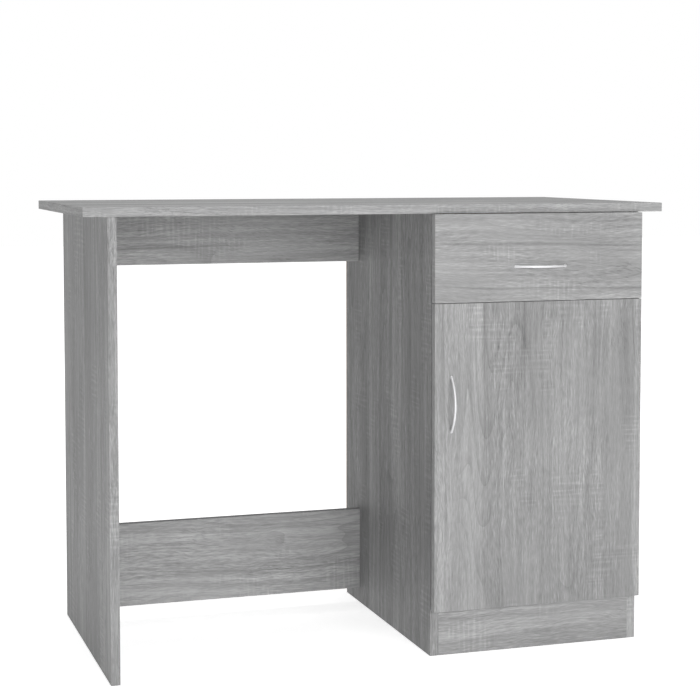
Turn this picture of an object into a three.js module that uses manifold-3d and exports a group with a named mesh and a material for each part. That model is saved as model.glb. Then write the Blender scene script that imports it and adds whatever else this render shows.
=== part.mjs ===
import * as THREE from 'three';
import Module from 'manifold-3d';
import { mergeVertices } from 'three/addons/utils/BufferGeometryUtils.js';

// A writing desk in oak-grain chipboard: a desktop carried by one leg panel and a cabinet that holds
// a drawer on roller runners above a door on concealed hinges. Millimetres, +Z up, front towards -Y.

const wasm = await Module();
wasm.setup();

// ---------------------------------------------------------------- driving dimensions

const DESK_WIDTH = 1000;
const DESK_DEPTH = 500;
const DESK_HEIGHT = 760;
const BOARD = 15;              // chipboard thickness
const HARDBOARD = 3;           // back board and drawer bottom
const GAP = 0.3;               // clearance around a piece that is let into another

const SIDE_OVERHANG = 40;      // desktop past the leg panel and past the cabinet
const FRONT_OVERHANG = 10.5;   // desktop past the uprights' front edges
const UPRIGHT_DEPTH = 461;
const CABINET_WIDTH = 381;
const BACK_BOARD_LIFT = 10;    // back board's lower edge above the floor

const KICK_HEIGHT = 75;
const DIVIDER_CENTRE_Z = 596;  // board under the drawer, behind the split between drawer and door
const SHELF_Z = 320;           // underside of the loose shelf
const SHELF_SETBACK = 20;
const SHELF_DEPTH = 430;
const SHELF_PLAY = 0.5;        // each side

const UPPER_RAIL = { setback: 387, low: 645, high: 745 };
const LOWER_RAIL = { setback: 380.5, low: 28, high: 178 };

const FRONT_REVEAL = 1;        // drawer front and door, in from the cabinet's sides
const FRONT_SPLIT = 1;         // gap between drawer front and door
const FRONT_TOP_GAP = 1;       // gap under the desktop
const DOOR_GAP = 2.5;          // between the uprights' front edges and the backs of the fronts
const DOOR_BOTTOM = 78;

const HANDLE_SPAN = 91;        // foot to foot
const HANDLE_RISE = 18.5;      // rod's centre line off the front
const HANDLE_ROD_RADIUS = 2;
const HANDLE_FOOT_RADIUS = 2.8;
const HANDLE_FOOT_HEIGHT = 3.5;
const DRAWER_HANDLE_Z = 655;
const DOOR_HANDLE_Z = 427;
const DOOR_HANDLE_INSET = 29.5;
const HANDLE_SCREW_RADIUS = 1.8;
const HANDLE_SCREW_BITE = 3;   // into the handle's foot
const SCREW_HEAD = { radius: 4, rim: 1.2, crown: 2.6, height: 2.1 };

const DRAWER_LENGTH = 400;
const DRAWER_BOARD = 12;
const DRAWER_LOW = 612;
const DRAWER_HIGH = 722;
const DRAWER_BOTTOM_Z = 620;
const GROOVE = 6;              // depth of the groove that holds the drawer bottom
const RUNNER_SPACE = 12.5;     // between drawer side and cabinet side

const RUNNER_SHEET = 1.25;
const RUNNER_LOW = 606;
const RUNNER_HEIGHT = 28;
const RUNNER_FLANGE_Z = 626;   // underside of the flange that rolls on the cabinet's rollers
const RUNNER_SETBACK = 2;
const RUNNER_LEDGE = 9.5;      // cabinet runner's lower ledge, out from the cabinet side
const RUNNER_LIP = 7;          // cabinet runner's upper lip
const FLANGE_EDGE = 3;         // drawer runner's flange, this far from the cabinet side
const ROLLER_WIDTH = 6.5;
const ROLLER_INSET = 12;       // roller's axle from the end of its runner
const CABINET_ROLLER_RADIUS = 8;
const DRAWER_ROLLER_RADIUS = 9;
const CABINET_ROLLER_X = 5.75; // roller's middle, out from the cabinet side
const DRAWER_ROLLER_X = 6.25;
const AXLE_RADIUS = 2;
const AXLE_LENGTH = 9;
const AXLE_ROOT = 0.5;         // axle starts this deep in the runner's sheet

const HINGE_END_DISTANCE = 90; // hinge from the door's top and bottom edges
const HINGE_AXIS_INSET = 6.5;  // from the door's edge
const HINGE_AXIS_DEPTH = 9.5;  // from the door's back face
const CUP_RADIUS = 17.5;
const CUP_DEPTH = 12.5;
const CUP_WALL = 0.7;
const CUP_RIM = 0.5;           // rim proud of the door's back
const CUP_EAR = { half: 8, reach: 26, thickness: 1.2 };
const CUP_EDGE = 3;            // wood left between cup and door edge
const EYE_RADIUS = 2;
const PIN_RADIUS = 1;
const PIN_LENGTH = 14.6;
const ARM_SHEET = 2;
const ARM_WIDTH = 8;
const ARM_REACH = 13.5;        // hinge axis to the middle of the arm's long leg
const PLATE_THICKNESS = 5;
const PLATE_FOOT = { from: 20, to: 54, half: 8 };   // under the arm, back from the front edge
const PLATE_WING = { from: 31, to: 43, half: 24 };  // takes the screws

const CAM_RADIUS = 7.5;
const CAM_DEPTH = 12.5;
const CAM_DISTANCE = 24;       // cam's centre from the end of the rail
const CAM_BOLT_RADIUS = 3;
const CAM_BOLT_BITE = 10;      // into the upright panel
const CAM_CROSS = { long: 4.5, narrow: 0.8, depth: 2 };

const PEG_RADIUS = 2.3;
const PEG_BITE = 8;
const PEG_DROP = 2.5;          // its axis below the shelf
const PEG_TAB = { reach: 9, half: 5, below: 1 };
const PEG_PITCH = 32;
const PEG_ROW_SETBACK = 50;

// ---------------------------------------------------------------- places that follow from them

const TOP_UNDERSIDE = DESK_HEIGHT - BOARD;
const LEG_X = [SIDE_OVERHANG - DESK_WIDTH / 2, SIDE_OVERHANG - DESK_WIDTH / 2 + BOARD];
const CABINET_X = [DESK_WIDTH / 2 - SIDE_OVERHANG - CABINET_WIDTH, DESK_WIDTH / 2 - SIDE_OVERHANG];
const INSIDE_X = [CABINET_X[0] + BOARD, CABINET_X[1] - BOARD];
const UPRIGHT_FRONT = FRONT_OVERHANG - DESK_DEPTH / 2;
const UPRIGHT_Y = [UPRIGHT_FRONT, UPRIGHT_FRONT + UPRIGHT_DEPTH];
const DIVIDER_Z = [DIVIDER_CENTRE_Z - BOARD / 2, DIVIDER_CENTRE_Z + BOARD / 2];

const FRONT_X = [CABINET_X[0] + FRONT_REVEAL, CABINET_X[1] - FRONT_REVEAL];
const FRONT_BACK = UPRIGHT_FRONT - DOOR_GAP;
const FRONT_FACE = FRONT_BACK - BOARD;
const DOOR_Z = [DOOR_BOTTOM, DIVIDER_CENTRE_Z - FRONT_SPLIT / 2];
const DRAWER_FRONT_Z = [DIVIDER_CENTRE_Z + FRONT_SPLIT / 2, TOP_UNDERSIDE - FRONT_TOP_GAP];
const DRAWER_X = [INSIDE_X[0] + RUNNER_SPACE, INSIDE_X[1] - RUNNER_SPACE];
const DRAWER_Y = [FRONT_BACK, FRONT_BACK + DRAWER_LENGTH];
const RUNNER_Y = [UPRIGHT_FRONT + RUNNER_SETBACK, UPRIGHT_FRONT + RUNNER_SETBACK + DRAWER_LENGTH];
const CABINET_ROLLER_Z = RUNNER_FLANGE_Z - GAP - CABINET_ROLLER_RADIUS;
const DRAWER_ROLLER_Z = RUNNER_LOW + RUNNER_SHEET + GAP + DRAWER_ROLLER_RADIUS;

const HINGE_X = FRONT_X[1] - HINGE_AXIS_INSET;
const HINGE_Y = FRONT_BACK - HINGE_AXIS_DEPTH;
const CUP_X = FRONT_X[1] - CUP_EDGE - CUP_RADIUS;
const HINGES = { lower: DOOR_Z[0] + HINGE_END_DISTANCE, upper: DOOR_Z[1] - HINGE_END_DISTANCE };

const DRAWER_HANDLE_X = (FRONT_X[0] + FRONT_X[1]) / 2;
const DOOR_HANDLE_X = FRONT_X[0] + DOOR_HANDLE_INSET;
const PEG_ROWS = { front: UPRIGHT_Y[0] + PEG_ROW_SETBACK, back: UPRIGHT_Y[1] - PEG_ROW_SETBACK };
const PEG_Z = SHELF_Z - PEG_DROP;

// ---------------------------------------------------------------- materials

const finish = (color, roughness, metalness) => () =>
  new THREE.MeshStandardMaterial({ color, roughness, metalness });
const oak = finish(0xa3a19b, 0.55, 0);
const hardboard = finish(0x8a6a4a, 0.8, 0);
const chrome = finish(0xd8d9da, 0.25, 1);
const steel = finish(0xb4b6b8, 0.4, 1);
const coatedSteel = finish(0xdadad6, 0.5, 0.3);
const nylon = finish(0xefefea, 0.5, 0);

// ---------------------------------------------------------------- shapes

function solid(geometry) {
  const bare = geometry.clone();
  bare.deleteAttribute('normal');
  bare.deleteAttribute('uv');
  const merged = mergeVertices(bare, 1e-4);
  const vertProperties = Float32Array.from(merged.attributes.position.array);
  const triVerts = Uint32Array.from(merged.index.array);
  return new wasm.Manifold(new wasm.Mesh({ numProp: 3, vertProperties, triVerts }));
}

function geometryOf(manifold) {
  const mesh = manifold.getMesh();
  const geometry = new THREE.BufferGeometry();
  geometry.setAttribute('position', new THREE.BufferAttribute(mesh.vertProperties, 3));
  geometry.setIndex(new THREE.BufferAttribute(mesh.triVerts, 1));
  geometry.computeVertexNormals();
  return geometry;
}

const join = (pieces) => geometryOf(pieces.map(solid).reduce((whole, piece) => whole.add(piece)));
const cut = (body, tools) =>
  geometryOf(tools.map(solid).reduce((left, tool) => left.subtract(tool), solid(body)));

const size = ([low, high]) => high - low;
const middle = ([low, high]) => (low + high) / 2;

// A box from its extents on each axis.
function block(x, y, z) {
  const geometry = new THREE.BoxGeometry(size(x), size(y), size(z));
  return geometry.translate(middle(x), middle(y), middle(z));
}

// A round bar that starts at a point and runs a signed length along one axis.
function bar(axis, radius, [x, y, z], length, sides = 16) {
  const geometry = new THREE.CylinderGeometry(radius, radius, Math.abs(length), sides);
  geometry.translate(0, length / 2, 0);
  if (axis === 'x') geometry.rotateZ(-Math.PI / 2);
  if (axis === 'z') geometry.rotateX(Math.PI / 2);
  return geometry.translate(x, y, z);
}

// A body of revolution about its own Y axis, from [radius, height] points.
function turned(profile, sides) {
  return new THREE.LatheGeometry(profile.map(([r, h]) => new THREE.Vector2(r, h)), sides);
}

// An outline pulled along one axis. Its points are the other two coordinates, in X, Y, Z order.
function prism(axis, points, low, high) {
  const outline = new THREE.Shape(points.map(([a, b]) => new THREE.Vector2(a, b)));
  const geometry = new THREE.ExtrudeGeometry(outline, { depth: high - low, bevelEnabled: false });
  const [X, Y, Z] = [[1, 0, 0], [0, 1, 0], [0, 0, 1]].map((v) => new THREE.Vector3(...v));
  if (axis === 'x') geometry.applyMatrix4(new THREE.Matrix4().makeBasis(Y, Z, X)).translate(low, 0, 0);
  if (axis === 'y') {
    geometry.applyMatrix4(new THREE.Matrix4().makeBasis(X, Z, Y.clone().negate()));
    geometry.translate(0, high, 0);
  }
  if (axis === 'z') geometry.translate(0, 0, low);
  return geometry;
}

// ---------------------------------------------------------------- assembly helpers

const desk = new THREE.Group();
// The origin is under the middle of the whole outline, which runs from the handles' rods
// to the desktop's rear edge.
desk.position.y = (-FRONT_FACE + HANDLE_RISE + HANDLE_ROD_RADIUS - DESK_DEPTH / 2) / 2;

function addPiece(name, material, geometry, place = [0, 0, 0]) {
  const mesh = new THREE.Mesh(geometry, material());
  mesh.name = name;
  mesh.position.set(...place);
  desk.add(mesh);
  return mesh;
}

// A board given by its extents, with holes given as solids in the desk's frame.
function addBoard(name, material, x, y, z, holes = []) {
  const centre = [middle(x), middle(y), middle(z)];
  const board = new THREE.BoxGeometry(size(x), size(y), size(z));
  const tools = holes.map((hole) => hole.clone().translate(...centre.map((value) => -value)));
  return addPiece(name, material, holes.length ? cut(board, tools) : board, centre);
}

// ---------------------------------------------------------------- cam fittings of the two rails

// A rail's end face meets an upright at x = face, and the rail runs on towards side (-1 or 1).
function camFitting(name, face, side, railFront, z) {
  const railBack = railFront + BOARD;
  const camX = face + side * CAM_DISTANCE;
  const boltY = railFront + BOARD / 2;
  const start = [face - side * CAM_BOLT_BITE, boltY, z];
  const boltLength = side * (CAM_BOLT_BITE + CAM_DISTANCE);
  const boreStart = [start[0] - side * GAP, boltY, z];
  const bore = bar('x', CAM_BOLT_RADIUS + GAP, boreStart, boltLength + side * 2 * GAP, 12);
  const pocket = bar('y', CAM_RADIUS + GAP, [camX, railBack + 1, z], -(CAM_DEPTH + GAP + 1), 24);

  addPiece(`cam_bolt_${name}`, steel, bar('x', CAM_BOLT_RADIUS, [0, 0, 0], boltLength, 12), start);
  const barrel = bar('y', CAM_RADIUS, [0, 0, 0], -CAM_DEPTH, 24);
  const { long, narrow, depth } = CAM_CROSS;
  const recess = [[long, narrow], [narrow, long]].map(([halfX, halfZ]) =>
    block([-halfX, halfX], [-depth, 1], [-halfZ, halfZ]));
  const boltBore = bore.clone().translate(-camX, -railBack, -z);
  addPiece(`cam_${name}`, steel, cut(barrel, [boltBore, ...recess]), [camX, railBack, z]);
  return { bore, pocket };
}

const legBores = [];
const cabinetBores = [];

function addRail(name, rail) {
  const railFront = UPRIGHT_FRONT + rail.setback;
  const inset = (rail.high - rail.low) / 4;      // fittings a quarter in from each edge
  const holes = [];
  for (const [level, z] of [['low', rail.low + inset], ['high', rail.high - inset]]) {
    const left = camFitting(`${name}_left_${level}`, LEG_X[1], 1, railFront, z);
    const right = camFitting(`${name}_right_${level}`, CABINET_X[0], -1, railFront, z);
    legBores.push(left.bore);
    cabinetBores.push(right.bore);
    holes.push(left.bore, left.pocket, right.bore, right.pocket);
  }
  addBoard(name, oak, [LEG_X[1], CABINET_X[0]], [railFront, railFront + BOARD], [rail.low, rail.high],
    holes);
}

addRail('upper_rail', UPPER_RAIL);
addRail('lower_rail', LOWER_RAIL);

// ---------------------------------------------------------------- desktop, leg panel and cabinet

// Rows of blind holes for the shelf pins, in the face at x = face, drilled towards side.
function pegHoles(face, side) {
  const holes = [];
  for (const y of Object.values(PEG_ROWS)) {
    for (let step = -2; step <= 2; step += 1) {
      const mouth = [face - side, y, PEG_Z + step * PEG_PITCH];
      holes.push(bar('x', PEG_RADIUS + GAP, mouth, side * (PEG_BITE + GAP + 1), 10));
    }
  }
  return holes;
}

const halfWidth = DESK_WIDTH / 2;
const halfDepth = DESK_DEPTH / 2;
const uprightZ = [0, TOP_UNDERSIDE];
addBoard('desktop', oak, [-halfWidth, halfWidth], [-halfDepth, halfDepth], [TOP_UNDERSIDE, DESK_HEIGHT]);
addBoard('leg_panel', oak, LEG_X, UPRIGHT_Y, uprightZ, legBores);
addBoard('cabinet_side_left', oak, [CABINET_X[0], INSIDE_X[0]], UPRIGHT_Y, uprightZ,
  [...cabinetBores, ...pegHoles(INSIDE_X[0], -1)]);
addBoard('cabinet_side_right', oak, [INSIDE_X[1], CABINET_X[1]], UPRIGHT_Y, uprightZ,
  pegHoles(INSIDE_X[1], 1));
addBoard('cabinet_floor', oak, INSIDE_X, UPRIGHT_Y, [KICK_HEIGHT, KICK_HEIGHT + BOARD]);
addBoard('drawer_divider', oak, INSIDE_X, UPRIGHT_Y, DIVIDER_Z);
addBoard('kick_board', oak, INSIDE_X, [UPRIGHT_FRONT, UPRIGHT_FRONT + BOARD], [0, KICK_HEIGHT]);
addBoard('cabinet_back', hardboard, CABINET_X, [UPRIGHT_Y[1], UPRIGHT_Y[1] + HARDBOARD],
  [BACK_BOARD_LIFT, TOP_UNDERSIDE]);

const shelfFront = UPRIGHT_FRONT + SHELF_SETBACK;
addBoard('shelf', oak, [INSIDE_X[0] + SHELF_PLAY, INSIDE_X[1] - SHELF_PLAY],
  [shelfFront, shelfFront + SHELF_DEPTH], [SHELF_Z, SHELF_Z + BOARD]);

// A peg in the side panel with a flat tab that the shelf lies on.
function shelfPin(side) {
  const peg = bar('x', PEG_RADIUS, [side * PEG_BITE, 0, 0], -side * (PEG_BITE + 1), 12);
  const { reach, half, below } = PEG_TAB;
  const tab = block(side > 0 ? [-reach, 0] : [0, reach], [-half, half], [-below, PEG_DROP - GAP]);
  return join([peg, tab]);
}

for (const [row, y] of Object.entries(PEG_ROWS)) {
  addPiece(`shelf_pin_${row}_left`, steel, shelfPin(-1), [INSIDE_X[0], y, PEG_Z]);
  addPiece(`shelf_pin_${row}_right`, steel, shelfPin(1), [INSIDE_X[1], y, PEG_Z]);
}

// ---------------------------------------------------------------- handles and their screws

// A bow of round rod between two feet, lying along X, with its feet on the plane y = 0.
function bowHandle() {
  const radius = (HANDLE_SPAN ** 2 / 4 + HANDLE_RISE ** 2) / (2 * HANDLE_RISE);
  const halfAngle = Math.asin(HANDLE_SPAN / 2 / radius);
  class Bow extends THREE.Curve {
    getPoint(t, point = new THREE.Vector3()) {
      const angle = (2 * t - 1) * halfAngle;
      return point.set(radius * Math.sin(angle), radius * (1 - Math.cos(angle)) - HANDLE_RISE, 0);
    }
  }
  const section = new THREE.Shape().absarc(0, 0, HANDLE_ROD_RADIUS, 0, 2 * Math.PI);
  const sweep = { steps: 20, curveSegments: 10, extrudePath: new Bow() };
  const rod = new THREE.ExtrudeGeometry(section, sweep);
  const footX = [-HANDLE_SPAN / 2, HANDLE_SPAN / 2];
  const feet = footX.map((x) => bar('y', HANDLE_FOOT_RADIUS, [x, 0, 0], -HANDLE_FOOT_HEIGHT, 16));
  const bores = footX.map((x) =>
    bar('y', HANDLE_SCREW_RADIUS + GAP, [x, 1, 0], -(HANDLE_SCREW_BITE + GAP + 1), 12));
  const behind = block([-HANDLE_SPAN, HANDLE_SPAN], [0, 20], [-20, 20]);
  return cut(join([rod, ...feet]), [behind, ...bores]);
}

// A pan-head screw seated on the back of a front board, pointing to the handle.
function handleScrew() {
  const tip = -(BOARD + HANDLE_SCREW_BITE);
  const { radius, rim, crown, height } = SCREW_HEAD;
  return turned([[0, tip], [HANDLE_SCREW_RADIUS, tip], [HANDLE_SCREW_RADIUS, 0], [radius, 0],
    [radius, rim], [crown, height], [0, height]], 12);
}

const screwHole = (x, z) =>
  bar('y', HANDLE_SCREW_RADIUS + GAP, [x, FRONT_FACE - 1, z], BOARD + 2, 12);
const halfSpan = HANDLE_SPAN / 2;

addPiece('drawer_handle', chrome, bowHandle(), [DRAWER_HANDLE_X, FRONT_FACE, DRAWER_HANDLE_Z]);
const doorHandlePlace = [DOOR_HANDLE_X, FRONT_FACE, DOOR_HANDLE_Z];
const doorHandle = addPiece('door_handle', chrome, bowHandle(), doorHandlePlace);
doorHandle.rotation.y = Math.PI / 2;

const drawerScrewX = { left: DRAWER_HANDLE_X - halfSpan, right: DRAWER_HANDLE_X + halfSpan };
for (const [end, x] of Object.entries(drawerScrewX)) {
  addPiece(`drawer_handle_screw_${end}`, steel, handleScrew(), [x, FRONT_BACK, DRAWER_HANDLE_Z]);
}
const doorScrewZ = { lower: DOOR_HANDLE_Z - halfSpan, upper: DOOR_HANDLE_Z + halfSpan };
for (const [end, z] of Object.entries(doorScrewZ)) {
  addPiece(`door_handle_screw_${end}`, steel, handleScrew(), [DOOR_HANDLE_X, FRONT_BACK, z]);
}

// ---------------------------------------------------------------- drawer

const bottomX = [DRAWER_X[0] + DRAWER_BOARD - GROOVE, DRAWER_X[1] - DRAWER_BOARD + GROOVE];
const bottomZ = [DRAWER_BOTTOM_Z, DRAWER_BOTTOM_Z + HARDBOARD];
const groove = block(bottomX, [FRONT_BACK - GROOVE, DRAWER_Y[1] + 1],
  [bottomZ[0] - GAP, bottomZ[1] + GAP]);
const drawerInsideX = [DRAWER_X[0] + DRAWER_BOARD, DRAWER_X[1] - DRAWER_BOARD];
const drawerZ = [DRAWER_LOW, DRAWER_HIGH];

addBoard('drawer_front', oak, FRONT_X, [FRONT_FACE, FRONT_BACK], DRAWER_FRONT_Z,
  [groove, ...Object.values(drawerScrewX).map((x) => screwHole(x, DRAWER_HANDLE_Z))]);
addBoard('drawer_side_left', oak, [DRAWER_X[0], drawerInsideX[0]], DRAWER_Y, drawerZ, [groove]);
addBoard('drawer_side_right', oak, [drawerInsideX[1], DRAWER_X[1]], DRAWER_Y, drawerZ, [groove]);
addBoard('drawer_back', oak, drawerInsideX, [DRAWER_Y[1] - DRAWER_BOARD, DRAWER_Y[1]],
  [bottomZ[1] + GAP, DRAWER_HIGH]);
addBoard('drawer_bottom', hardboard, [bottomX[0] + GAP, bottomX[1] - GAP],
  [FRONT_BACK - GROOVE + GAP, DRAWER_Y[1]], bottomZ);

// ---------------------------------------------------------------- roller runners

// Both runners are drawn for a cabinet side at x = 0 with the drawer at x = inward * RUNNER_SPACE.
const mirrored = (points, inward) => points.map(([x, z]) => [inward * x, z]);

// A channel screwed to the cabinet side, with the stub axle of the front roller.
function cabinetRunner(inward) {
  const high = RUNNER_LOW + RUNNER_HEIGHT;
  const web = RUNNER_SHEET;
  const channel = [[0, RUNNER_LOW], [RUNNER_LEDGE, RUNNER_LOW], [RUNNER_LEDGE, RUNNER_LOW + web],
    [web, RUNNER_LOW + web], [web, high - web], [RUNNER_LIP, high - web], [RUNNER_LIP, high],
    [0, high]];
  const axleStart = [inward * AXLE_ROOT, RUNNER_Y[0] + ROLLER_INSET, CABINET_ROLLER_Z];
  const axle = bar('x', AXLE_RADIUS, axleStart, inward * AXLE_LENGTH, 12);
  return join([prism('y', mirrored(channel, inward), ...RUNNER_Y), axle]);
}

// An angle under the drawer side, whose outer flange rolls on the cabinet's roller.
function drawerRunner(inward) {
  const outer = RUNNER_SPACE - RUNNER_SHEET;
  const low = DRAWER_LOW - RUNNER_SHEET;
  const angle = [[outer, low], [RUNNER_SPACE + DRAWER_BOARD, low],
    [RUNNER_SPACE + DRAWER_BOARD, DRAWER_LOW], [RUNNER_SPACE, DRAWER_LOW],
    [RUNNER_SPACE, RUNNER_FLANGE_Z + RUNNER_SHEET], [FLANGE_EDGE, RUNNER_FLANGE_Z + RUNNER_SHEET],
    [FLANGE_EDGE, RUNNER_FLANGE_Z], [outer, RUNNER_FLANGE_Z]];
  const axleStart = [inward * (outer + AXLE_ROOT), DRAWER_Y[1] - ROLLER_INSET, DRAWER_ROLLER_Z];
  const axle = bar('x', AXLE_RADIUS, axleStart, -inward * AXLE_LENGTH, 12);
  const rail = prism('y', mirrored(angle, inward), FRONT_BACK + GAP, DRAWER_Y[1]);
  return join([rail, axle]);
}

function roller(radius) {
  const bore = AXLE_RADIUS + GAP;
  const half = ROLLER_WIDTH / 2;
  const bevel = 0.6;
  const ring = [[bore, -half], [radius - bevel, -half], [radius, -half + bevel],
    [radius, half - bevel], [radius - bevel, half], [bore, half], [bore, -half]];
  return turned(ring, 28).rotateZ(Math.PI / 2);
}

for (const [hand, face, inward] of [['left', INSIDE_X[0], 1], ['right', INSIDE_X[1], -1]]) {
  addPiece(`runner_cabinet_${hand}`, coatedSteel, cabinetRunner(inward), [face, 0, 0]);
  addPiece(`runner_drawer_${hand}`, coatedSteel, drawerRunner(inward), [face, 0, 0]);
  addPiece(`roller_cabinet_${hand}`, nylon, roller(CABINET_ROLLER_RADIUS),
    [face + inward * CABINET_ROLLER_X, RUNNER_Y[0] + ROLLER_INSET, CABINET_ROLLER_Z]);
  addPiece(`roller_drawer_${hand}`, nylon, roller(DRAWER_ROLLER_RADIUS),
    [face + inward * DRAWER_ROLLER_X, DRAWER_Y[1] - ROLLER_INSET, DRAWER_ROLLER_Z]);
}

// ---------------------------------------------------------------- door and its hinges

const cupBore = (z) =>
  bar('y', CUP_RADIUS + GAP, [CUP_X, FRONT_BACK + 1, z], -(CUP_DEPTH + GAP + 1), 32);
addBoard('door', oak, FRONT_X, [FRONT_FACE, FRONT_BACK], DOOR_Z,
  [...Object.values(HINGES).map(cupBore),
    ...Object.values(doorScrewZ).map((z) => screwHole(DOOR_HANDLE_X, z))]);

// A cup let into the door's back, with two ears on the door's face.
function hingeCup() {
  const inner = CUP_RADIUS - CUP_WALL;
  const cup = turned([[0, -CUP_DEPTH], [CUP_RADIUS, -CUP_DEPTH], [CUP_RADIUS, CUP_RIM],
    [inner, CUP_RIM], [inner, CUP_WALL - CUP_DEPTH], [0, CUP_WALL - CUP_DEPTH]], 32);
  const { half, reach, thickness } = CUP_EAR;
  const ears = block([-half, half], [0, thickness], [-reach, reach]);
  const mouth = bar('y', inner, [0, -1, 0], thickness + 2, 32);
  return join([cup, cut(ears, [mouth])]);
}

// An L of sheet steel: its short leg lies in the cup and ends in an eye round the pin, and its
// long leg runs back into the cabinet along the plate. The hinge axis is the piece's own Z axis.
function hingeArm() {
  const half = ARM_SHEET / 2;
  const tail = UPRIGHT_FRONT + PLATE_FOOT.to - HINGE_Y;
  const outline = [[0, -half], [-ARM_REACH - half, -half], [-ARM_REACH - half, tail],
    [-ARM_REACH + half, tail], [-ARM_REACH + half, half], [0, half]];
  const zRange = [-ARM_WIDTH / 2, ARM_WIDTH / 2];
  const eye = bar('z', EYE_RADIUS, [0, 0, zRange[0]], ARM_WIDTH, 16);
  const bore = bar('z', PIN_RADIUS + GAP, [0, 0, zRange[0] - 1], ARM_WIDTH + 2, 16);
  return cut(join([prism('z', outline, ...zRange), eye]), [bore]);
}

// A cross-shaped plate on the cabinet side: a foot for the arm and two wings for the screws.
function hingePlate() {
  const foot = PLATE_FOOT;
  const wing = PLATE_WING;
  const lower = [[foot.from, -foot.half], [wing.from, -foot.half], [wing.from, -wing.half],
    [wing.to, -wing.half], [wing.to, -foot.half], [foot.to, -foot.half]];
  const upper = lower.map(([y, z]) => [y, -z]).reverse();
  return prism('x', [...lower, ...upper], -PLATE_THICKNESS, 0);
}

for (const [level, z] of Object.entries(HINGES)) {
  addPiece(`hinge_plate_${level}`, steel, hingePlate(), [INSIDE_X[1], UPRIGHT_FRONT, z]);
  addPiece(`hinge_arm_${level}`, steel, hingeArm(), [HINGE_X, HINGE_Y, z]);
  addPiece(`hinge_cup_${level}`, steel, hingeCup(), [CUP_X, FRONT_BACK, z]);
  const pin = bar('z', PIN_RADIUS, [0, 0, -PIN_LENGTH / 2], PIN_LENGTH, 10);
  addPiece(`hinge_pin_${level}`, steel, pin, [HINGE_X, HINGE_Y, z]);
}

export default desk;
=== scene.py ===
import math

import bpy
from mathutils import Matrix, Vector


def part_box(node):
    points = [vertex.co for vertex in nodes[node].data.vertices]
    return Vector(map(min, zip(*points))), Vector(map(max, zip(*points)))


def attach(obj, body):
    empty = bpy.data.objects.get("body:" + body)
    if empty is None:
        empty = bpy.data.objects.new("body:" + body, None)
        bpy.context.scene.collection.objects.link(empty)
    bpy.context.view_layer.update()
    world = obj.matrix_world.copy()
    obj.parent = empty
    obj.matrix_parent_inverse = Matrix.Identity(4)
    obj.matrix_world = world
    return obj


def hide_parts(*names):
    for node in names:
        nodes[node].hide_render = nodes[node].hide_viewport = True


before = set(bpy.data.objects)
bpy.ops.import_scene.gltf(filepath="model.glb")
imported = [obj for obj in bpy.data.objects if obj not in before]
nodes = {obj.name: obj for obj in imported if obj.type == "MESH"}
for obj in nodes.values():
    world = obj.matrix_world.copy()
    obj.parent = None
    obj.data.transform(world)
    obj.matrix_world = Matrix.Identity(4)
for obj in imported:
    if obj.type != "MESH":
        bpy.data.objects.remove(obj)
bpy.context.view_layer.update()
scene = bpy.context.scene

MM = 0.001
X, Y, Z = 0, 1, 2
UNIT = (Vector((1, 0, 0)), Vector((0, 1, 0)), Vector((0, 0, 1)))

# ------------------------------------------------------------------ camera

EYE = (-0.93124, -2.94209, 0.83305)
LOOK_RIGHT = math.radians(18.2058)   # turned from +Y towards +X
LOOK_DOWN = math.radians(3.4633)
SENSOR = 36                          # mm, across
LENS = 89.891                        # mm
LENS_SHIFT = (-0.02, -0.12)          # keeps the uprights almost parallel
CAMERA_REACH = 50                    # m, past the far edge of the floor


def make_camera():
    data = bpy.data.cameras.new("camera")
    data.sensor_width = SENSOR
    data.lens = LENS
    data.shift_x, data.shift_y = LENS_SHIFT
    data.clip_end = CAMERA_REACH
    camera = bpy.data.objects.new("camera", data)
    camera.location = EYE
    camera.rotation_euler = (math.pi / 2 - LOOK_DOWN, 0, -LOOK_RIGHT)
    scene.collection.objects.link(camera)
    scene.camera = camera


# ------------------------------------------------------------------ shader node helpers

def put(tree, socket, value):
    """Sets a socket, or links it when the value is another node's output."""
    if isinstance(value, bpy.types.NodeSocket):
        tree.links.new(value, socket)
    else:
        socket.default_value = value


def add(tree, kind, settings=None, **inputs):
    node = tree.nodes.new(kind)
    for name, value in (settings or {}).items():
        setattr(node, name, value)
    for name, value in inputs.items():
        put(tree, node.inputs[name.replace("_", " ")], value)
    return node


def maths(tree, operation, *values):
    node = add(tree, "ShaderNodeMath", {"operation": operation})
    for socket, value in zip(node.inputs, values):
        put(tree, socket, value)
    return node.outputs[0]


def vector_maths(tree, operation, *values):
    node = add(tree, "ShaderNodeVectorMath", {"operation": operation})
    for socket, value in zip(node.inputs, values):
        put(tree, socket, value)
    return node.outputs[0]


def total(tree, *parts):
    result = parts[0]
    for part in parts[1:]:
        result = maths(tree, "ADD", result, part)
    return result


def weighed(tree, value, weight, centre=0.5):
    return maths(tree, "MULTIPLY", maths(tree, "SUBTRACT", value, centre), weight)


def noise(tree, place, frequency, detail=2.0, roughness=0.5, distortion=0.0):
    """Noise with its own frequency, in cycles per metre, along each axis."""
    scaled = vector_maths(tree, "MULTIPLY", place, frequency)
    return add(tree, "ShaderNodeTexNoise", Vector=scaled, Scale=1.0, Detail=detail,
               Roughness=roughness, Distortion=distortion).outputs["Fac"]


def remap(tree, value, low, high, out_low=0.0, out_high=1.0, smooth=False):
    kind = "SMOOTHSTEP" if smooth else "LINEAR"
    node = add(tree, "ShaderNodeMapRange", {"interpolation_type": kind})
    for name, part in zip(("Value", "From Min", "From Max", "To Min", "To Max"),
                          (value, low, high, out_low, out_high)):
        put(tree, node.inputs[name], part)
    return node.outputs[0]


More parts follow.
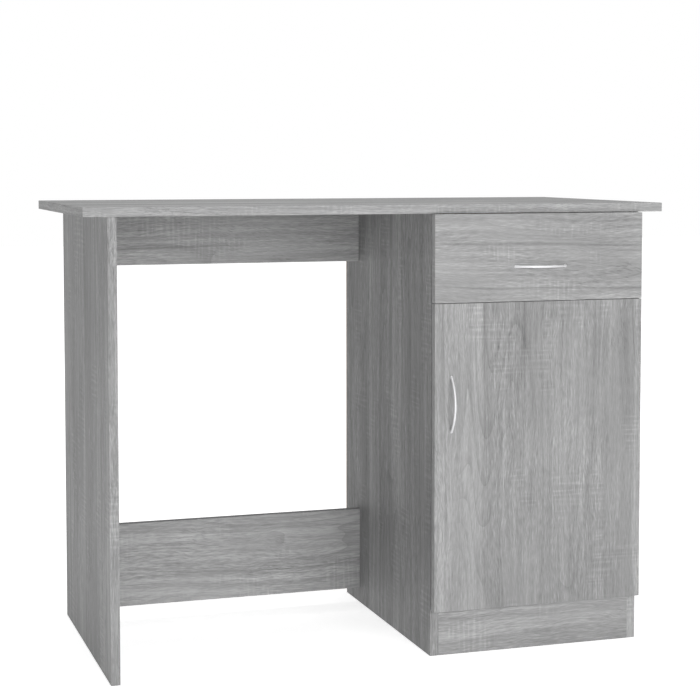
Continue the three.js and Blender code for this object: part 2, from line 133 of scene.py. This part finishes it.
def ramp(tree, value, *stops):
    node = add(tree, "ShaderNodeValToRGB", Fac=value)
    elements = node.color_ramp.elements
    elements[0].position, elements[0].color = stops[0][0], (*stops[0][1], 1)
    elements[1].position, elements[1].color = stops[-1][0], (*stops[-1][1], 1)
    for position, colour in stops[1:-1]:
        elements.new(position).color = (*colour, 1)
    return node.outputs["Color"]


def grey(level, warmth=0.0):
    """A linear colour from an sRGB grey of 0 to 255, redder for a positive warmth."""
    def linear(value):
        value = value / 255
        return value / 12.92 if value <= 0.04045 else ((value + 0.055) / 1.055) ** 2.4
    return linear(level + warmth), linear(level), linear(level - warmth)


def new_material(name, **uniform):
    """A material with only its Principled shader, whose uniform sockets are set."""
    material = bpy.data.materials.new(name)
    material.use_nodes = True
    tree = material.node_tree
    tree.nodes.clear()
    shader = add(tree, "ShaderNodeBsdfPrincipled", **uniform)
    add(tree, "ShaderNodeOutputMaterial", Surface=shader.outputs[0])
    return material, tree, shader


def bump(tree, shader, height, distance):
    node = add(tree, "ShaderNodeBump", Height=height, Distance=distance)
    tree.links.new(node.outputs["Normal"], shader.inputs["Normal"])


def object_place(tree):
    return add(tree, "ShaderNodeTexCoord").outputs["Object"]


# ------------------------------------------------------------------ grey oak board

STAVE = 0.070            # width of the printed staves
SAW_MARK = 0.0095        # spacing of the printed saw marks
OAK_LEVEL = 148          # sRGB grey of the middle tone
OAK_CONTRAST = 50        # sRGB levels from the middle tone to either end of the ramp
OAK_WARMTH = -0.1        # sRGB levels that red is above green, and green above blue
OAK_RELIEF = 0.12 * MM
END_FACE = 0.6           # share of a face's normal along the grain, above which it is an end edge
SEED_STEP = (1.37, 0.71, 2.19)       # m between the parts of the pattern that two boards show
BOARD_EDGE = 0.3 * MM    # rounding of the boards' edges
SHEET_EDGE = 0.25 * MM   # rounding of the runners' edges

MIX_A, MIX_B, MIX_RESULT = 4, 5, 1   # a Mix node's sockets for vectors

OAK_BOARDS = {           # node: (axis through the board, axis of the grain, painted light scale: a factor on the board's tone, below 1 painted shade and above 1 painted light)
    "desktop": (Z, X, 1.0), "cabinet_floor": (Z, X, 1.0), "drawer_divider": (Z, X, 1.0),
    "shelf": (Z, X, 1.0), "leg_panel": (X, Z, 0.93), "cabinet_side_left": (X, Z, 0.91),
    "cabinet_side_right": (X, Z, 1.0), "door": (Y, Z, 0.925), "drawer_front": (Y, X, 0.965),
    "kick_board": (Y, X, 0.935), "upper_rail": (Y, X, 1.02), "lower_rail": (Y, X, 1.01),
    "drawer_back": (Y, X, 1.0), "drawer_side_left": (X, Y, 1.0), "drawer_side_right": (X, Y, 1.0),
}


def saw_marks(tree, place):
    """Short light ticks across the grain, in patches."""
    along = add(tree, "ShaderNodeSeparateXYZ", Vector=place).outputs[2]
    wobble = remap(tree, noise(tree, place, (4, 4, 45), 2), 0.3, 0.7, -0.005, 0.005)
    step = maths(tree, "DIVIDE", maths(tree, "ADD", along, wobble), SAW_MARK)
    line = remap(tree, maths(tree, "PINGPONG", step, 0.5), 0.02, 0.36, 1.0, -0.4, True)
    patch = remap(tree, noise(tree, place, (17, 17, 9), 1), 0.55, 0.67, 0.0, 1.0, True)
    broken = remap(tree, noise(tree, place, (70, 70, 140), 1), 0.35, 0.65, 0.2, 1.0, True)
    return maths(tree, "MULTIPLY", maths(tree, "MULTIPLY", line, patch), broken)


def growth_rings(tree, place):
    """Contour lines of a noise drawn out along the grain, darkest on one side of each line."""
    growth = noise(tree, place, (9, 9, 1.0), 1.5, 0.45)
    ring = maths(tree, "POWER", maths(tree, "FRACT", maths(tree, "MULTIPLY", growth, 26.0)), 4.0)
    share = remap(tree, noise(tree, place, (11, 11, 2.0), 1), 0.44, 0.62, 0.1, 1.0, True)
    return maths(tree, "MULTIPLY", ring, share)


def staves(tree, place):
    """The tone of each stave, and the dark joint that some of them have."""
    step = maths(tree, "DIVIDE", add(tree, "ShaderNodeSeparateXYZ", Vector=place).outputs[0], STAVE)
    number = maths(tree, "FLOOR", step)
    tone = add(tree, "ShaderNodeTexWhiteNoise", {"noise_dimensions": "1D"}, W=number)
    share = remap(tree, noise(tree, place, (3, 3, 2.2), 1), 0.44, 0.6, 0.0, 1.0, True)
    joint = remap(tree, maths(tree, "PINGPONG", step, 0.5), 0.0, 0.045, 1.0, 0.0, True)
    return tone.outputs["Value"], maths(tree, "MULTIPLY", joint, share)


def flecks(tree, place):
    """Short dark dashes a little aslant of the grain, in a few places."""
    slant = add(tree, "ShaderNodeVectorRotate", Vector=place, Angle=0.30, Axis=(0, 1, 0)).outputs[0]
    dash = remap(tree, noise(tree, slant, (520, 520, 75), 1, 0.5), 0.54, 0.66, 0.0, 1.0, True)
    patch = remap(tree, noise(tree, place, (16, 16, 8), 1), 0.6, 0.7, 0.0, 1.0, True)
    return maths(tree, "MULTIPLY", dash, patch)


def make_oak_pattern():
    """Printed oak grain at a place (across, depth, along) in metres; a tone of 0.5 is the middle."""
    tree = bpy.data.node_groups.new("oak_pattern", "ShaderNodeTree")
    tree.interface.new_socket("Place", in_out="INPUT", socket_type="NodeSocketVector")
    tree.interface.new_socket("Tone", in_out="OUTPUT", socket_type="NodeSocketFloat")
    tree.interface.new_socket("Relief", in_out="OUTPUT", socket_type="NodeSocketFloat")
    place = add(tree, "NodeGroupInput").outputs["Place"]

    sway = remap(tree, noise(tree, place, (5, 5, 1.4), 2), 0.3, 0.7, -0.010, 0.010)
    offset = add(tree, "ShaderNodeCombineXYZ", X=sway).outputs[0]
    bent = vector_maths(tree, "ADD", place, offset)

    ripple = remap(tree, noise(tree, place, (30, 30, 9), 1), 0.3, 0.7, -0.003, 0.003)
    rippled = vector_maths(tree, "ADD", bent, add(tree, "ShaderNodeCombineXYZ", X=ripple).outputs[0])

    strength = remap(tree, noise(tree, place, (14, 14, 3.5), 1), 0.36, 0.64, 0.62, 1.15, True)
    pores = noise(tree, rippled, (900, 900, 60), 2, 0.6)
    streaks = noise(tree, rippled, (330, 330, 11), 2, 0.6)
    fine = total(tree, weighed(tree, pores, 0.85), weighed(tree, streaks, 0.48))
    bands = noise(tree, bent, (75, 75, 1.8), 2, 0.55)
    cloud = noise(tree, place, (9, 9, 4), 3, 0.5)
    rings = growth_rings(tree, bent)
    stave_tone, joint = staves(tree, bent)
    marks = saw_marks(tree, place)
    dashes = flecks(tree, place)

    tone = total(
        tree, 0.5, maths(tree, "MULTIPLY", fine, strength),
        weighed(tree, bands, 0.40), weighed(tree, cloud, 0.26), weighed(tree, stave_tone, 0.13),
        weighed(tree, rings, -0.13, 0.1), weighed(tree, joint, -0.14, 0.0),
        weighed(tree, marks, 0.085, 0.0), weighed(tree, dashes, -0.13, 0.0))
    relief = total(tree, pores, weighed(tree, streaks, 0.5), weighed(tree, marks, 0.4, 0.0),
                   weighed(tree, rings, -0.4, 0.0), weighed(tree, dashes, -0.5, 0.0))
    add(tree, "NodeGroupOutput", Tone=tone, Relief=relief)
    return tree


def make_oak(name, face, along, painted_light_scale, seed):
    """A board's material: its grain runs along one axis, and along each banded end edge."""
    material, tree, shader = new_material(name, IOR=1.45, Specular_IOR_Level=0.2)
    across = X + Y + Z - face - along
    coordinates = add(tree, "ShaderNodeTexCoord").outputs
    place = add(tree, "ShaderNodeSeparateXYZ", Vector=coordinates["Object"]).outputs
    normal = add(tree, "ShaderNodeSeparateXYZ", Vector=coordinates["Normal"]).outputs

    def grain_place(first, second, third):
        axes = {"X": place[first], "Y": place[second], "Z": place[third]}
        return add(tree, "ShaderNodeCombineXYZ", **axes).outputs[0]

    on_end = maths(tree, "GREATER_THAN", maths(tree, "ABSOLUTE", normal[along]), END_FACE)
    choice = add(tree, "ShaderNodeMix", {"data_type": "VECTOR"}, Factor=on_end)
    put(tree, choice.inputs[MIX_A], grain_place(across, face, along))
    put(tree, choice.inputs[MIX_B], grain_place(face, along, across))
    offset = tuple(seed * step for step in SEED_STEP)
    spread = vector_maths(tree, "ADD", choice.outputs[MIX_RESULT], offset)
    pattern = add(tree, "ShaderNodeGroup", {"node_tree": oak_pattern}, Place=spread).outputs

    # The board's factor paints shade into the tone of the door, drawer front, leg, left cabinet side
    # and kick board, and paints light into the tone of the rails
    level = OAK_LEVEL * painted_light_scale
    stops = [(share, grey(level + step * OAK_CONTRAST, OAK_WARMTH))
             for share, step in ((0.0, -1), (0.5, 0), (1.0, 1))]
    tree.links.new(ramp(tree, pattern["Tone"], *stops), shader.inputs["Base Color"])
    tree.links.new(remap(tree, pattern["Tone"], 0.2, 0.8, 0.68, 0.52), shader.inputs["Roughness"])
    bump(tree, shader, pattern["Relief"], OAK_RELIEF)
    return material


# ------------------------------------------------------------------ other materials

def make_hardboard():
    """Raw brown hardboard: matted fibres with a few dark specks."""
    material, tree, shader = new_material("hardboard")
    place = object_place(tree)
    fibres = noise(tree, place, (420, 420, 420), 4, 0.7, 1.2)
    specks = remap(tree, noise(tree, place, (900, 900, 900), 1), 0.66, 0.74)
    tone = maths(tree, "SUBTRACT", fibres, maths(tree, "MULTIPLY", specks, 0.35))
    colour = ramp(tree, tone, (0.25, (0.17, 0.088, 0.042)), (0.5, (0.30, 0.172, 0.090)),
                  (0.75, (0.42, 0.26, 0.145)))
    tree.links.new(colour, shader.inputs["Base Color"])
    tree.links.new(remap(tree, fibres, 0.3, 0.7, 0.9, 0.7), shader.inputs["Roughness"])
    bump(tree, shader, fibres, 0.2 * MM)
    return material


def make_metal(name, dark, light, roughness):
    """Metal with fine brushing, a few smears and slightly uneven gloss."""
    material, tree, shader = new_material(name, Metallic=1.0)
    place = object_place(tree)
    brushing = noise(tree, place, (600, 600, 600), 3, 0.6)
    smears = noise(tree, place, (45, 45, 45), 3, 0.6, 0.5)
    tone = total(tree, weighed(tree, brushing, 0.5, 0.0), weighed(tree, smears, 0.5, 0.0))
    tree.links.new(ramp(tree, tone, (0.3, dark), (0.7, light)), shader.inputs["Base Color"])
    gloss = remap(tree, tone, 0.3, 0.7, roughness * 0.75, roughness * 1.3)
    tree.links.new(gloss, shader.inputs["Roughness"])
    bump(tree, shader, brushing, 0.02 * MM)
    return material


def make_coating(name, dark, light, roughness, grain, height):
    """Paint or moulded plastic: a finely pebbled skin with slightly uneven gloss."""
    material, tree, shader = new_material(name)
    place = object_place(tree)
    pebbles = noise(tree, place, (grain, grain, grain), 2)
    wear = noise(tree, place, (60, 60, 60), 4, 0.65, 0.6)
    tree.links.new(ramp(tree, wear, (0.3, dark), (0.7, light)), shader.inputs["Base Color"])
    gloss = remap(tree, wear, 0.3, 0.7, roughness * 1.2, roughness * 0.85)
    tree.links.new(gloss, shader.inputs["Roughness"])
    bump(tree, shader, pebbles, height)
    return material


# ------------------------------------------------------------------ floor and light

SKY = 0.16               # world light on the boards; seen directly the world is white
GLOSS_SKY = 0.5          # world light in reflections
FLOOR_GLOW = 0.66        # near the desk; it rises to full white between the two distances
GLOW_FROM, GLOW_TO = 1.2, 3.5        # m from the origin
FLOOR_HALF = 14          # m
FLOOR_DROP = 0.5 * MM    # keeps the floor clear of the feet
LAMPS = {                # name: (place, target, size, watts)
    "front": ((0.4, -4.0, 1.3), (0, 0, 0.4), (2.6, 1.2), 92),
    "overhead": ((0.0, 0.0, 3.6), (0, 0, 0.4), (2.6, 2.6), 82),
    "left": ((-4.2, 0.0, 1.1), (0, 0, 0.4), (2.2, 1.8), 3),
}


def make_floor():
    half = FLOOR_HALF
    mesh = bpy.data.meshes.new("floor")
    corners = [(-half, -half, 0), (half, -half, 0), (half, half, 0), (-half, half, 0)]
    mesh.from_pydata(corners, [], [(0, 1, 2, 3)])
    floor = bpy.data.objects.new("floor", mesh)
    floor.location.z = -FLOOR_DROP
    scene.collection.objects.link(floor)
    material, tree, shader = new_material("pale_floor")
    mottle = noise(tree, object_place(tree), (3, 3, 3), 3)
    colour = ramp(tree, mottle, (0.3, grey(242)), (0.7, grey(250)))
    tree.links.new(colour, shader.inputs["Base Color"])
    tree.links.new(remap(tree, mottle, 0.3, 0.7, 0.85, 0.95), shader.inputs["Roughness"])
    shader.inputs["Emission Color"].default_value = (1, 1, 1, 1)
    distance = add(tree, "ShaderNodeVectorMath", {"operation": "LENGTH"})
    tree.links.new(object_place(tree), distance.inputs[0])
    glow = remap(tree, distance.outputs["Value"], GLOW_FROM, GLOW_TO, FLOOR_GLOW, 1.0, True)
    tree.links.new(glow, shader.inputs["Emission Strength"])
    mesh.materials.append(material)


def make_world():
    world = bpy.data.worlds.new("studio")
    world.use_nodes = True
    tree = world.node_tree
    path = add(tree, "ShaderNodeLightPath").outputs
    gloss = remap(tree, path["Is Glossy Ray"], 0, 1, SKY, GLOSS_SKY)
    seen = maths(tree, "MAXIMUM", gloss, path["Is Camera Ray"])
    background = tree.nodes["Background"]
    background.inputs["Color"].default_value = (1, 1, 1, 1)
    tree.links.new(seen, background.inputs["Strength"])
    scene.world = world


def make_lamps():
    for name, (place, target, size, watts) in LAMPS.items():
        data = bpy.data.lights.new(name, "AREA")
        data.shape = "RECTANGLE"
        data.size, data.size_y = size
        data.energy = watts
        lamp = bpy.data.objects.new(name, data)
        lamp.location = place
        aim = Vector(target) - Vector(place)
        lamp.rotation_euler = aim.to_track_quat("-Z", "Y").to_euler()
        scene.collection.objects.link(lamp)


# ------------------------------------------------------------------ CAD nodes: material and edges

SAME_POINT = 0.005 * MM  # points of a node closer than this are one point
EDGE_ANGLE = math.radians(35)
SHARP_ANGLE = math.radians(40)


def dress(name, material, edge=None, segments=2):
    """Gives a CAD node its material and, where an edge radius is set, small rounded edges."""
    piece = nodes[name]
    piece.data.materials.clear()
    piece.data.materials.append(material)
    if edge:
        weld = piece.modifiers.new("weld", "WELD")
        weld.merge_threshold = SAME_POINT
        rounding = piece.modifiers.new("rounding", "BEVEL")
        rounding.width = edge
        rounding.segments = segments
        rounding.limit_method = "ANGLE"
        rounding.angle_limit = EDGE_ANGLE
        rounding.harden_normals = True


# ------------------------------------------------------------------ pieces made from mesh code

def new_piece(name, points, faces, material, body):
    mesh = bpy.data.meshes.new(name)
    mesh.from_pydata(points, [], faces)
    mesh.materials.append(material)
    mesh.validate()
    mesh.shade_smooth()
    mesh.set_sharp_from_angle(angle=SHARP_ANGLE)
    piece = bpy.data.objects.new(name, mesh)
    scene.collection.objects.link(piece)
    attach(piece, body)
    return piece


def box_of(name):
    low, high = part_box(name)
    return Vector(low), Vector(high)


def lathe(profile, axis, sides):
    """Points and faces of a solid of revolution about an axis through the origin.

    The profile is (radius, height) pairs; it ends on the axis, or closes on itself as a ring.
    """
    first, second = (UNIT[(axis + 1) % 3], UNIT[(axis + 2) % 3])
    points, rings = [], []
    for radius, height in profile:
        if radius == 0:
            rings.append([len(points)] * sides)
            points.append(UNIT[axis] * height)
            continue
        rings.append(range(len(points), len(points) + sides))
        for side in range(sides):
            angle = 2 * math.pi * side / sides
            spoke = first * math.cos(angle) + second * math.sin(angle)
            points.append(spoke * radius + UNIT[axis] * height)
    closed = profile[0][0] > 0
    faces = []
    for index in range(len(rings) if closed else len(rings) - 1):
        low, high = rings[index], rings[(index + 1) % len(rings)]
        for side in range(sides):
            after = (side + 1) % sides
            face = [low[side], low[after], high[after], high[side]]
            faces.append([corner for i, corner in enumerate(face) if corner not in face[:i]])
    return points, faces


# -- handles

ROD_RADIUS = 2.0 * MM
FOOT_RADIUS = 2.8 * MM
FOOT_FLARE = 5.0 * MM    # distance from the board over which the foot narrows to the rod
BOW_POWER = 1.7          # between 1, half an ellipse, and 2, a parabola
BOW_STEPS = 48
BOW_SIDES = 24


def make_handle(node, along, body):
    """A bow of round rod whose two spreading feet stand flat on the board."""
    low, high = box_of(node)
    centre = (low + high) / 2
    half = (high[along] - low[along]) / 2 - FOOT_RADIUS
    rise = high.y - low.y - ROD_RADIUS
    side = UNIT[X + Z - along]

    path = []
    for step in range(BOW_STEPS + 1):
        angle = math.pi * step / BOW_STEPS
        point = centre.copy()
        point[along] -= half * math.cos(angle)
        point.y = high.y - rise * math.sin(angle) ** BOW_POWER
        path.append(point)

    points, faces = [], []
    for step, middle in enumerate(path):
        ends = step in (0, BOW_STEPS)
        ahead, behind = path[min(step + 1, BOW_STEPS)], path[max(step - 1, 0)]
        tangent = UNIT[Y] * (1 if step else -1) if ends else (ahead - behind).normalized()
        outward = side.cross(tangent)
        near = min(1, (high.y - middle.y) / FOOT_FLARE)
        radius = ROD_RADIUS + (FOOT_RADIUS - ROD_RADIUS) * (1 - near) ** 2
        for turn in range(BOW_SIDES):
            angle = 2 * math.pi * turn / BOW_SIDES
            points.append(middle + radius * (side * math.cos(angle) + outward * math.sin(angle)))
    for step in range(BOW_STEPS):
        for turn in range(BOW_SIDES):
            here, after = step * BOW_SIDES + turn, step * BOW_SIDES + (turn + 1) % BOW_SIDES
            faces.append([here, after, after + BOW_SIDES, here + BOW_SIDES])
    faces.append(list(range(BOW_SIDES))[::-1])
    faces.append([BOW_STEPS * BOW_SIDES + turn for turn in range(BOW_SIDES)])
    piece = new_piece(f"{node}_bow", points, faces, chrome, body)
    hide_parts(node)


# -- rollers

ROLLER_BORE = 2.3 * MM
ROLLER_HUB = 3.8 * MM
ROLLER_RIM = 1.6 * MM    # thickness of the rim
WEB_SHARE = 0.6          # of the roller's width
WEB_SLOPE = 0.3 * MM
TREAD_ROUND = 0.6 * MM
GROOVE_HALF = 0.9 * MM
GROOVE_FLOOR_HALF = 0.4 * MM
GROOVE_DEPTH = 0.35 * MM
ROLLER_SIDES = 64

def make_roller(node):
    """A moulded nylon wheel: rounded tread with a shallow groove, dished faces and a hub."""
    low, high = box_of(node)
    centre = (low + high) / 2
    half, radius = (high.x - low.x) / 2, (high.z - low.z) / 2
    web, rim = half * WEB_SHARE, radius - ROLLER_RIM
    face = [(ROLLER_BORE, half), (ROLLER_HUB, half),
            (ROLLER_HUB + WEB_SLOPE, web), (rim - WEB_SLOPE, web), (rim, half),
            (radius - 0.5 * MM, half), (radius - 0.15 * MM, half - 0.2 * MM),
            (radius, half - TREAD_ROUND), (radius, GROOVE_HALF),
            (radius - GROOVE_DEPTH, GROOVE_FLOOR_HALF)]
    profile = face + [(r, -h) for r, h in reversed(face)]
    points, faces = lathe(profile, X, ROLLER_SIDES)
    points = [centre + point for point in points]
    piece = new_piece(f"{node}_wheel", points, faces, nylon, node)
    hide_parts(node)


# -- screws, nails and bumpers

HEAD_SIDES = 32
HANDLE_HEAD = (4.0 * MM, 2.1 * MM)   # radius and height of each kind of screw head
PLATE_HEAD = (3.6 * MM, 1.4 * MM)
ARM_HEAD = (2.6 * MM, 1.2 * MM)      # also in the hinge cups
RUNNER_HEAD = (3.0 * MM, 1.0 * MM)

PLATE_SCREW_OFFSET = 16 * MM         # from the middle of the hinge plate
CUP_SCREW_OFFSET = 21.6 * MM         # from the middle of the hinge cup
ARM_SCREWS = {"rear": (8 * MM, 0.72), "front": (24 * MM, 2.16)}    # setback and turn
RUNNER_SHEET = 1.25 * MM
CABINET_RUNNER_SCREWS = (0.14, 0.52, 0.9)    # shares of the runner's length
DRAWER_RUNNER_SCREWS = (0.1, 0.5, 0.84)      # shares of the drawer side's length
DRAWER_RUNNER_SCREW_Z = 7 * MM       # above the drawer side's lower edge

NAIL_RADIUS = 2.0 * MM
NAIL_HEIGHT = 0.5 * MM
NAIL_EDGE = 7.5 * MM     # nails from the edge of the back board
NAIL_ROWS = 8
BUMPER_RADIUS = 4.0 * MM
BUMPER_HEIGHT = 1.6 * MM
BUMPER_INSET = 14 * MM   # from the door's top and bottom edges

def cross_head(radius, height):
    """A domed screw head about +Z with a cross recess, as points and faces."""
    profile = [(0, 0), (radius, 0), (radius, height * 0.3), (radius * 0.93, height * 0.6),
               (radius * 0.7, height * 0.88), (radius * 0.4, height * 0.98), (0, height)]
    points, faces = lathe(profile, Z, HEAD_SIDES)
    mesh = bpy.data.meshes.new("head")
    mesh.from_pydata(points, [], faces)
    head = bpy.data.objects.new("head", mesh)
    scene.collection.objects.link(head)
    cutters = []
    long, narrow = radius * 0.6, radius * 0.13
    for half_x, half_y in ((long, narrow), (narrow, long)):
        corners = [(x, y, z) for z in (height * 0.45, height * 2) for x, y in
                   ((-half_x, -half_y), (half_x, -half_y), (half_x, half_y), (-half_x, half_y))]
        sides = [[i, (i + 1) % 4, (i + 1) % 4 + 4, i + 4] for i in range(4)]
        slot = bpy.data.meshes.new("slot")
        slot.from_pydata(corners, [], [[3, 2, 1, 0], [4, 5, 6, 7], *sides])
        cutter = bpy.data.objects.new("slot", slot)
        scene.collection.objects.link(cutter)
        cut = head.modifiers.new("cut", "BOOLEAN")
        cut.operation, cut.object, cut.solver = "DIFFERENCE", cutter, "EXACT"
        cutters.append(cutter)
    bpy.context.view_layer.update()
    made = head.evaluated_get(bpy.context.evaluated_depsgraph_get()).to_mesh()
    result = ([v.co.copy() for v in made.vertices], [list(f.vertices) for f in made.polygons])
    for helper in (head, *cutters):
        bpy.data.objects.remove(helper)
    return result


def place_head(name, shape, place, normal, body, turn=0.0):
    """Puts a head shape, made about +Z, on a surface; a turn varies its recess."""
    spin = normal.to_track_quat("Z", "Y").to_matrix()
    cosine, sine = math.cos(turn), math.sin(turn)
    head_points, faces = shape
    points = []
    for x, y, z in head_points:
        turned = Vector((x * cosine - y * sine, x * sine + y * cosine, z))
        points.append(place + spin @ turned)
    return new_piece(name, points, faces, zinc, body)


def add_handle_screws():
    shape = cross_head(*HANDLE_HEAD)
    head_height = HANDLE_HEAD[1]
    for index, node in enumerate(name for name in nodes if "handle_screw" in name):
        low, high = box_of(node)
        place = Vector(((low.x + high.x) / 2, high.y - head_height, (low.z + high.z) / 2))
        head = place_head(f"{node}_head", shape, place, UNIT[Y], node.split("_")[0], index * 0.7)
        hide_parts(node)


def add_hinge_screws():
    large, small = cross_head(*PLATE_HEAD), cross_head(*ARM_HEAD)
    for level in ("lower", "upper"):
        low, high = box_of(f"hinge_plate_{level}")
        middle = (low + high) / 2
        for end, sign in (("low", -1), ("high", 1)):
            place = Vector((low.x, middle.y, middle.z + sign * PLATE_SCREW_OFFSET))
            place_head(f"plate_screw_{level}_{end}", large, place, -UNIT[X], "root", sign * 0.5)
        low, high = box_of(f"hinge_cup_{level}")
        middle = (low + high) / 2
        for end, sign in (("low", -1), ("high", 1)):
            place = Vector((middle.x, high.y, middle.z + sign * CUP_SCREW_OFFSET))
            place_head(f"cup_screw_{level}_{end}", large, place, UNIT[Y], "door", sign * 0.9)
        low, high = box_of(f"hinge_arm_{level}")
        for end, (setback, turn) in ARM_SCREWS.items():
            place = Vector((low.x, high.y - setback, (low.z + high.z) / 2))
            place_head(f"arm_screw_{level}_{end}", small, place, -UNIT[X], "root", turn)


def add_runner_screws():
    shape = cross_head(*RUNNER_HEAD)
    for hand, inward in (("left", 1), ("right", -1)):
        low, high = box_of(f"runner_cabinet_{hand}")
        wall = low.x if inward > 0 else high.x
        for index, share in enumerate(CABINET_RUNNER_SCREWS):
            place = Vector((wall + inward * RUNNER_SHEET, low.y + share * (high.y - low.y),
                            (low.z + high.z) / 2))
            name = f"runner_cabinet_screw_{hand}_{index}"
            place_head(name, shape, place, UNIT[X] * inward, "root", share * 5)
        low, high = box_of(f"drawer_side_{hand}")
        wall = low.x if inward > 0 else high.x
        for index, share in enumerate(DRAWER_RUNNER_SCREWS):
            place = Vector((wall - inward * RUNNER_SHEET, low.y + share * (high.y - low.y),
                            low.z + DRAWER_RUNNER_SCREW_Z))
            name = f"runner_drawer_screw_{hand}_{index}"
            place_head(name, shape, place, -UNIT[X] * inward, "drawer", share * 7)


def add_back_nails():
    """Nails through the back board, along its edges and into the boards behind it."""
    low, high = box_of("cabinet_back")
    flat = [(0, 0), (NAIL_RADIUS, 0), (NAIL_RADIUS, NAIL_HEIGHT * 0.5),
            (NAIL_RADIUS * 0.8, NAIL_HEIGHT * 0.9), (0, NAIL_HEIGHT)]
    shape = lathe(flat, Z, 20)
    pitch = (high.z - low.z - 2 * NAIL_EDGE) / (NAIL_ROWS - 1)
    places = [(x, low.z + NAIL_EDGE + pitch * row)
              for x in (low.x + NAIL_EDGE, high.x - NAIL_EDGE) for row in range(NAIL_ROWS)]
    for node in ("cabinet_floor", "drawer_divider"):
        board_low, board_high = box_of(node)
        z = (board_low.z + board_high.z) / 2
        places += [(low.x + (high.x - low.x) * share, z) for share in (0.25, 0.5, 0.75)]
    for index, (x, z) in enumerate(places):
        place_head(f"back_nail_{index}", shape, Vector((x, high.y, z)), UNIT[Y], "root")


def add_door_bumpers():
    """Soft dots on the back of the door, at its free edge, where it meets the cabinet side."""
    low, high = box_of("door")
    side_low, side_high = box_of("cabinet_side_left")
    x = (max(low.x, side_low.x) + side_high.x) / 2
    dome = [(0, 0), (BUMPER_RADIUS, 0), (BUMPER_RADIUS * 0.97, BUMPER_HEIGHT * 0.4),
            (BUMPER_RADIUS * 0.8, BUMPER_HEIGHT * 0.8), (BUMPER_RADIUS * 0.5, BUMPER_HEIGHT * 0.96),
            (0, BUMPER_HEIGHT)]
    shape = lathe(dome, Z, HEAD_SIDES)
    for level, z in (("lower", low.z + BUMPER_INSET), ("upper", high.z - BUMPER_INSET)):
        bumper = place_head(f"door_bumper_{level}", shape, Vector((x, high.y, z)), UNIT[Y], "door")
        bumper.data.materials[0] = nylon


# ------------------------------------------------------------------ the scene

make_camera()
make_floor()
make_world()
make_lamps()
scene.view_settings.view_transform = "Standard"

oak_pattern = make_oak_pattern()
hardboard = make_hardboard()
chrome = make_metal("bright_chrome", dark=(0.64, 0.64, 0.65), light=(0.71, 0.71, 0.72),
                    roughness=0.62)
zinc = make_metal("zinc_steel", dark=(0.42, 0.43, 0.45), light=(0.62, 0.63, 0.64), roughness=0.36)
coated_steel = make_coating("coated_steel", dark=grey(204, 2), light=grey(216, 2),
                            roughness=0.42, grain=900, height=0.03 * MM)
nylon = make_coating("white_nylon", dark=grey(214, 3), light=grey(226, 3),
                     roughness=0.5, grain=1400, height=0.02 * MM)

for seed, (name, (face, along, painted_light_scale)) in enumerate(OAK_BOARDS.items(), start=1):
    dress(name, make_oak(f"oak_{name}", face, along, painted_light_scale, seed), BOARD_EDGE)
for name in ("cabinet_back", "drawer_bottom"):
    dress(name, hardboard)
for name in nodes:
    if name.startswith("runner"):
        dress(name, coated_steel, SHEET_EDGE, segments=1)
    elif name.startswith("roller"):
        dress(name, nylon)
    elif name.endswith("_handle"):
        dress(name, chrome)
    elif name.startswith(("cam", "hinge", "shelf_pin")) or "screw" in name:
        dress(name, zinc)

make_handle("drawer_handle", X, "drawer")
make_handle("door_handle", Z, "door")
for name in [name for name in nodes if name.startswith("roller")]:
    make_roller(name)
add_handle_screws()
add_hinge_screws()
add_runner_screws()
add_back_nails()
add_door_bumpers()
